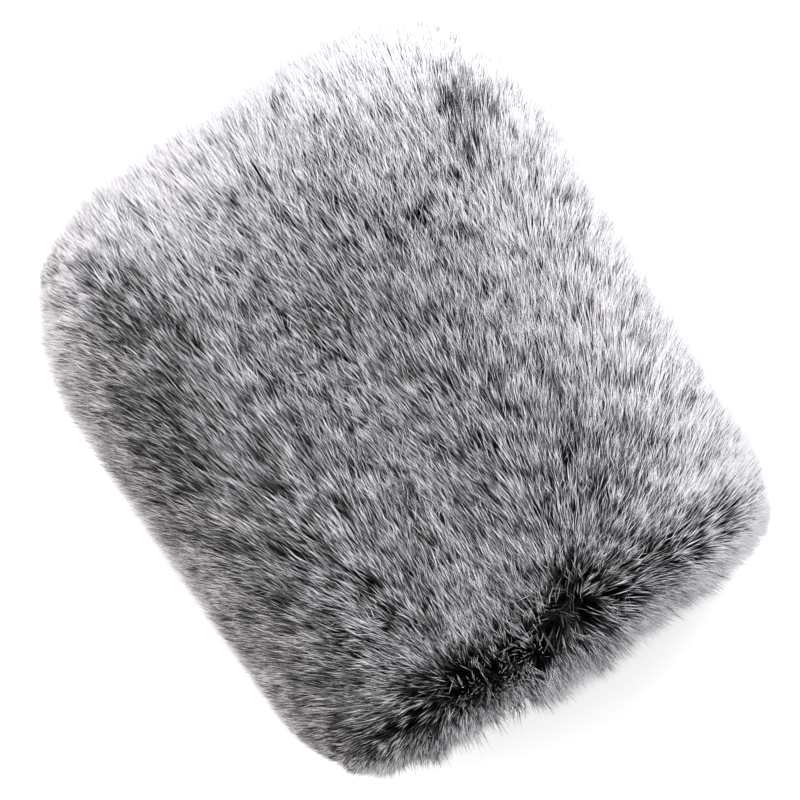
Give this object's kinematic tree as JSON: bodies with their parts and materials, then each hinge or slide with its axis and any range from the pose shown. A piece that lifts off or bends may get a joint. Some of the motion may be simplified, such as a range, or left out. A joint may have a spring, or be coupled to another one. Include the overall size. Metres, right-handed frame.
{
  "type": "furry windscreen",
  "caption": "Boxed slip-on cover of long-pile faux fur over a foam insert that keeps wind noise off a hand-held audio recorder pushed in through its elastic mouth.",
  "frame": {"origin": "middle of the footprint, on the surface that the part lies on", "axes": "+Z out of the front face, +Y towards the closed crown, the mouth faces -Y, +X to the right"},
  "size_m": [0.1138, 0.137, 0.076],
  "materials": {
    "silver_fur": "long pile, black at the root and silver at the tip",
    "black_tape": "woven twill tape, matte",
    "black_jersey": "fine knit, gathered, matte",
    "black_elastic": "ribbed woven elastic",
    "grey_thread": "twisted polyester thread",
    "charcoal_foam": "open-cell foam, matte",
    "black_tricot": "brushed tricot, matte"
  },
  "bodies": {
    "jacket": {"front_fur_panel": "silver_fur", "back_fur_panel": "silver_fur", "left_fur_gusset": "silver_fur", "right_fur_gusset": "silver_fur", "crown_fur_gusset": "silver_fur", "mouth_fur_panel": "silver_fur", "front_seam_binding": "black_tape", "back_seam_binding": "black_tape", "left_crown_seam_binding": "black_tape", "right_crown_seam_binding": "black_tape", "mouth_casing": "black_jersey", "mouth_elastic": "black_elastic", "mouth_stitches": "grey_thread"},
    "insert": {"foam_front_pad": "charcoal_foam", "foam_back_pad": "charcoal_foam", "foam_left_pad": "charcoal_foam", "foam_right_pad": "charcoal_foam", "foam_crown_pad": "charcoal_foam", "lining_front": "black_tricot", "lining_back": "black_tricot", "lining_left": "black_tricot", "lining_right": "black_tricot", "lining_crown": "black_tricot", "insert_mouth_binding": "black_tape"}
  },
  "joints": [
    {"name": "insert_slide", "type": "slide", "parent": "jacket", "child": "insert", "axis": [0, -1, 0], "range_m": [0, 0.13], "deforming": ["mouth_fur_panel", "mouth_casing", "mouth_elastic", "mouth_stitches"]}
  ]
}
